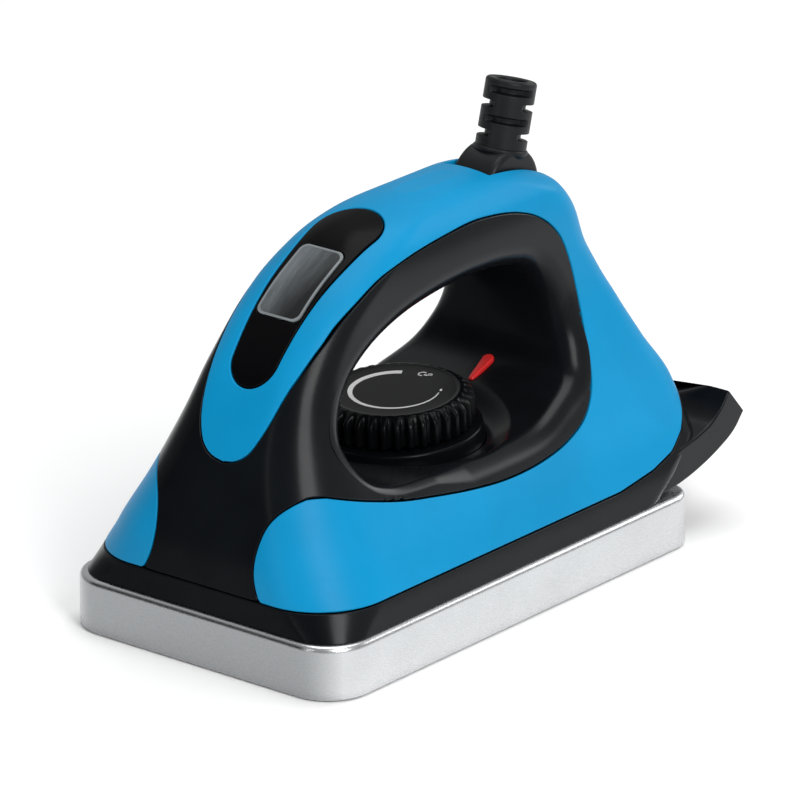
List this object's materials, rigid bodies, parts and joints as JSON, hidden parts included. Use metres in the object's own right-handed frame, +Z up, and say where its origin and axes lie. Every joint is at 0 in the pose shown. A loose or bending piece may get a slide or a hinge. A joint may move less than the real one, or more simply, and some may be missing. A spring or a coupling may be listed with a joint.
{
  "type": "waxing iron",
  "caption": "Electric iron with a thick flat aluminium sole, closed loop handle, display window, toothed temperature dial and tilting cord entry.",
  "frame": {"origin": "centre of the running face under the soleplate", "axes": "+X to the right seen from behind the tail, +Y from the nose to the tail, +Z up out of the running face"},
  "size_m": [0.088, 0.1683, 0.1206],
  "materials": {
    "sole_aluminium": "machined and polished sides, bevelled top edge",
    "steel_parts": "zinc plated steel",
    "terminal_brass": "plain brass",
    "insulation": "mineral fibre pad",
    "black_housing": "moulded black plastic, glossy inside the handle opening",
    "blue_cover": "moulded blue plastic, semi-gloss",
    "bezel_gloss": "polished black plastic",
    "lens_glass": "smoked clear window",
    "display_glass": "liquid crystal module",
    "circuit_board": "green solder mask",
    "dial_black": "satin black plastic",
    "pointer_red": "clear red plastic",
    "boot_rubber": "matt black rubber",
    "component_black": "moulded component body",
    "terminal_body": "pale thermosetting plastic"
  },
  "bodies": {
    "base": {"soleplate": "sole_aluminium", "heating_element": "steel_parts", "element_terminal_left": "terminal_brass", "element_terminal_right": "terminal_brass", "insulation_pad": "insulation", "heat_shield": "steel_parts", "temperature_sensor": "steel_parts", "thermal_cutout": "steel_parts", "lower_housing": "black_housing", "upper_housing": "black_housing", "handle_cover": "blue_cover", "display_bezel": "bezel_gloss", "display_lens": "lens_glass", "display_module": "display_glass", "display_board": "circuit_board", "dial_collar": "dial_black", "dial_potentiometer": "steel_parts", "dial_nut": "steel_parts", "pilot_pointer": "pointer_red", "pilot_lamp": "pointer_red", "swivel_pin": "steel_parts", "control_board": "circuit_board", "triac": "component_black", "heat_sink": "sole_aluminium", "capacitor": "component_black", "terminal_block": "terminal_body", "cord_clamp": "component_black", "clamp_screw_left": "steel_parts", "clamp_screw_right": "steel_parts", "standoff_1": "steel_parts", "sole_screw_1": "steel_parts", "housing_screw_1": "steel_parts", "standoff_2": "steel_parts", "sole_screw_2": "steel_parts", "housing_screw_2": "steel_parts", "standoff_3": "steel_parts", "sole_screw_3": "steel_parts", "housing_screw_3": "steel_parts", "standoff_4": "steel_parts", "sole_screw_4": "steel_parts", "housing_screw_4": "steel_parts"},
    "dial": {"thermostat_dial": "dial_black", "dial_shaft": "steel_parts"},
    "swivel": {"swivel_drum": "component_black", "cord_strain_relief": "boot_rubber"}
  },
  "joints": [
    {"name": "dial_turn", "type": "hinge", "parent": "base", "child": "dial", "pos_m": [0, 0.0047, 0.0499], "axis": [0, -0.0698, 0.9976], "range_deg": [0, 285]},
    {"name": "swivel_tilt", "type": "hinge", "parent": "base", "child": "swivel", "pos_m": [0, 0.044, 0.093], "axis": [1, 0, 0], "range_deg": [-30, 30]}
  ]
}
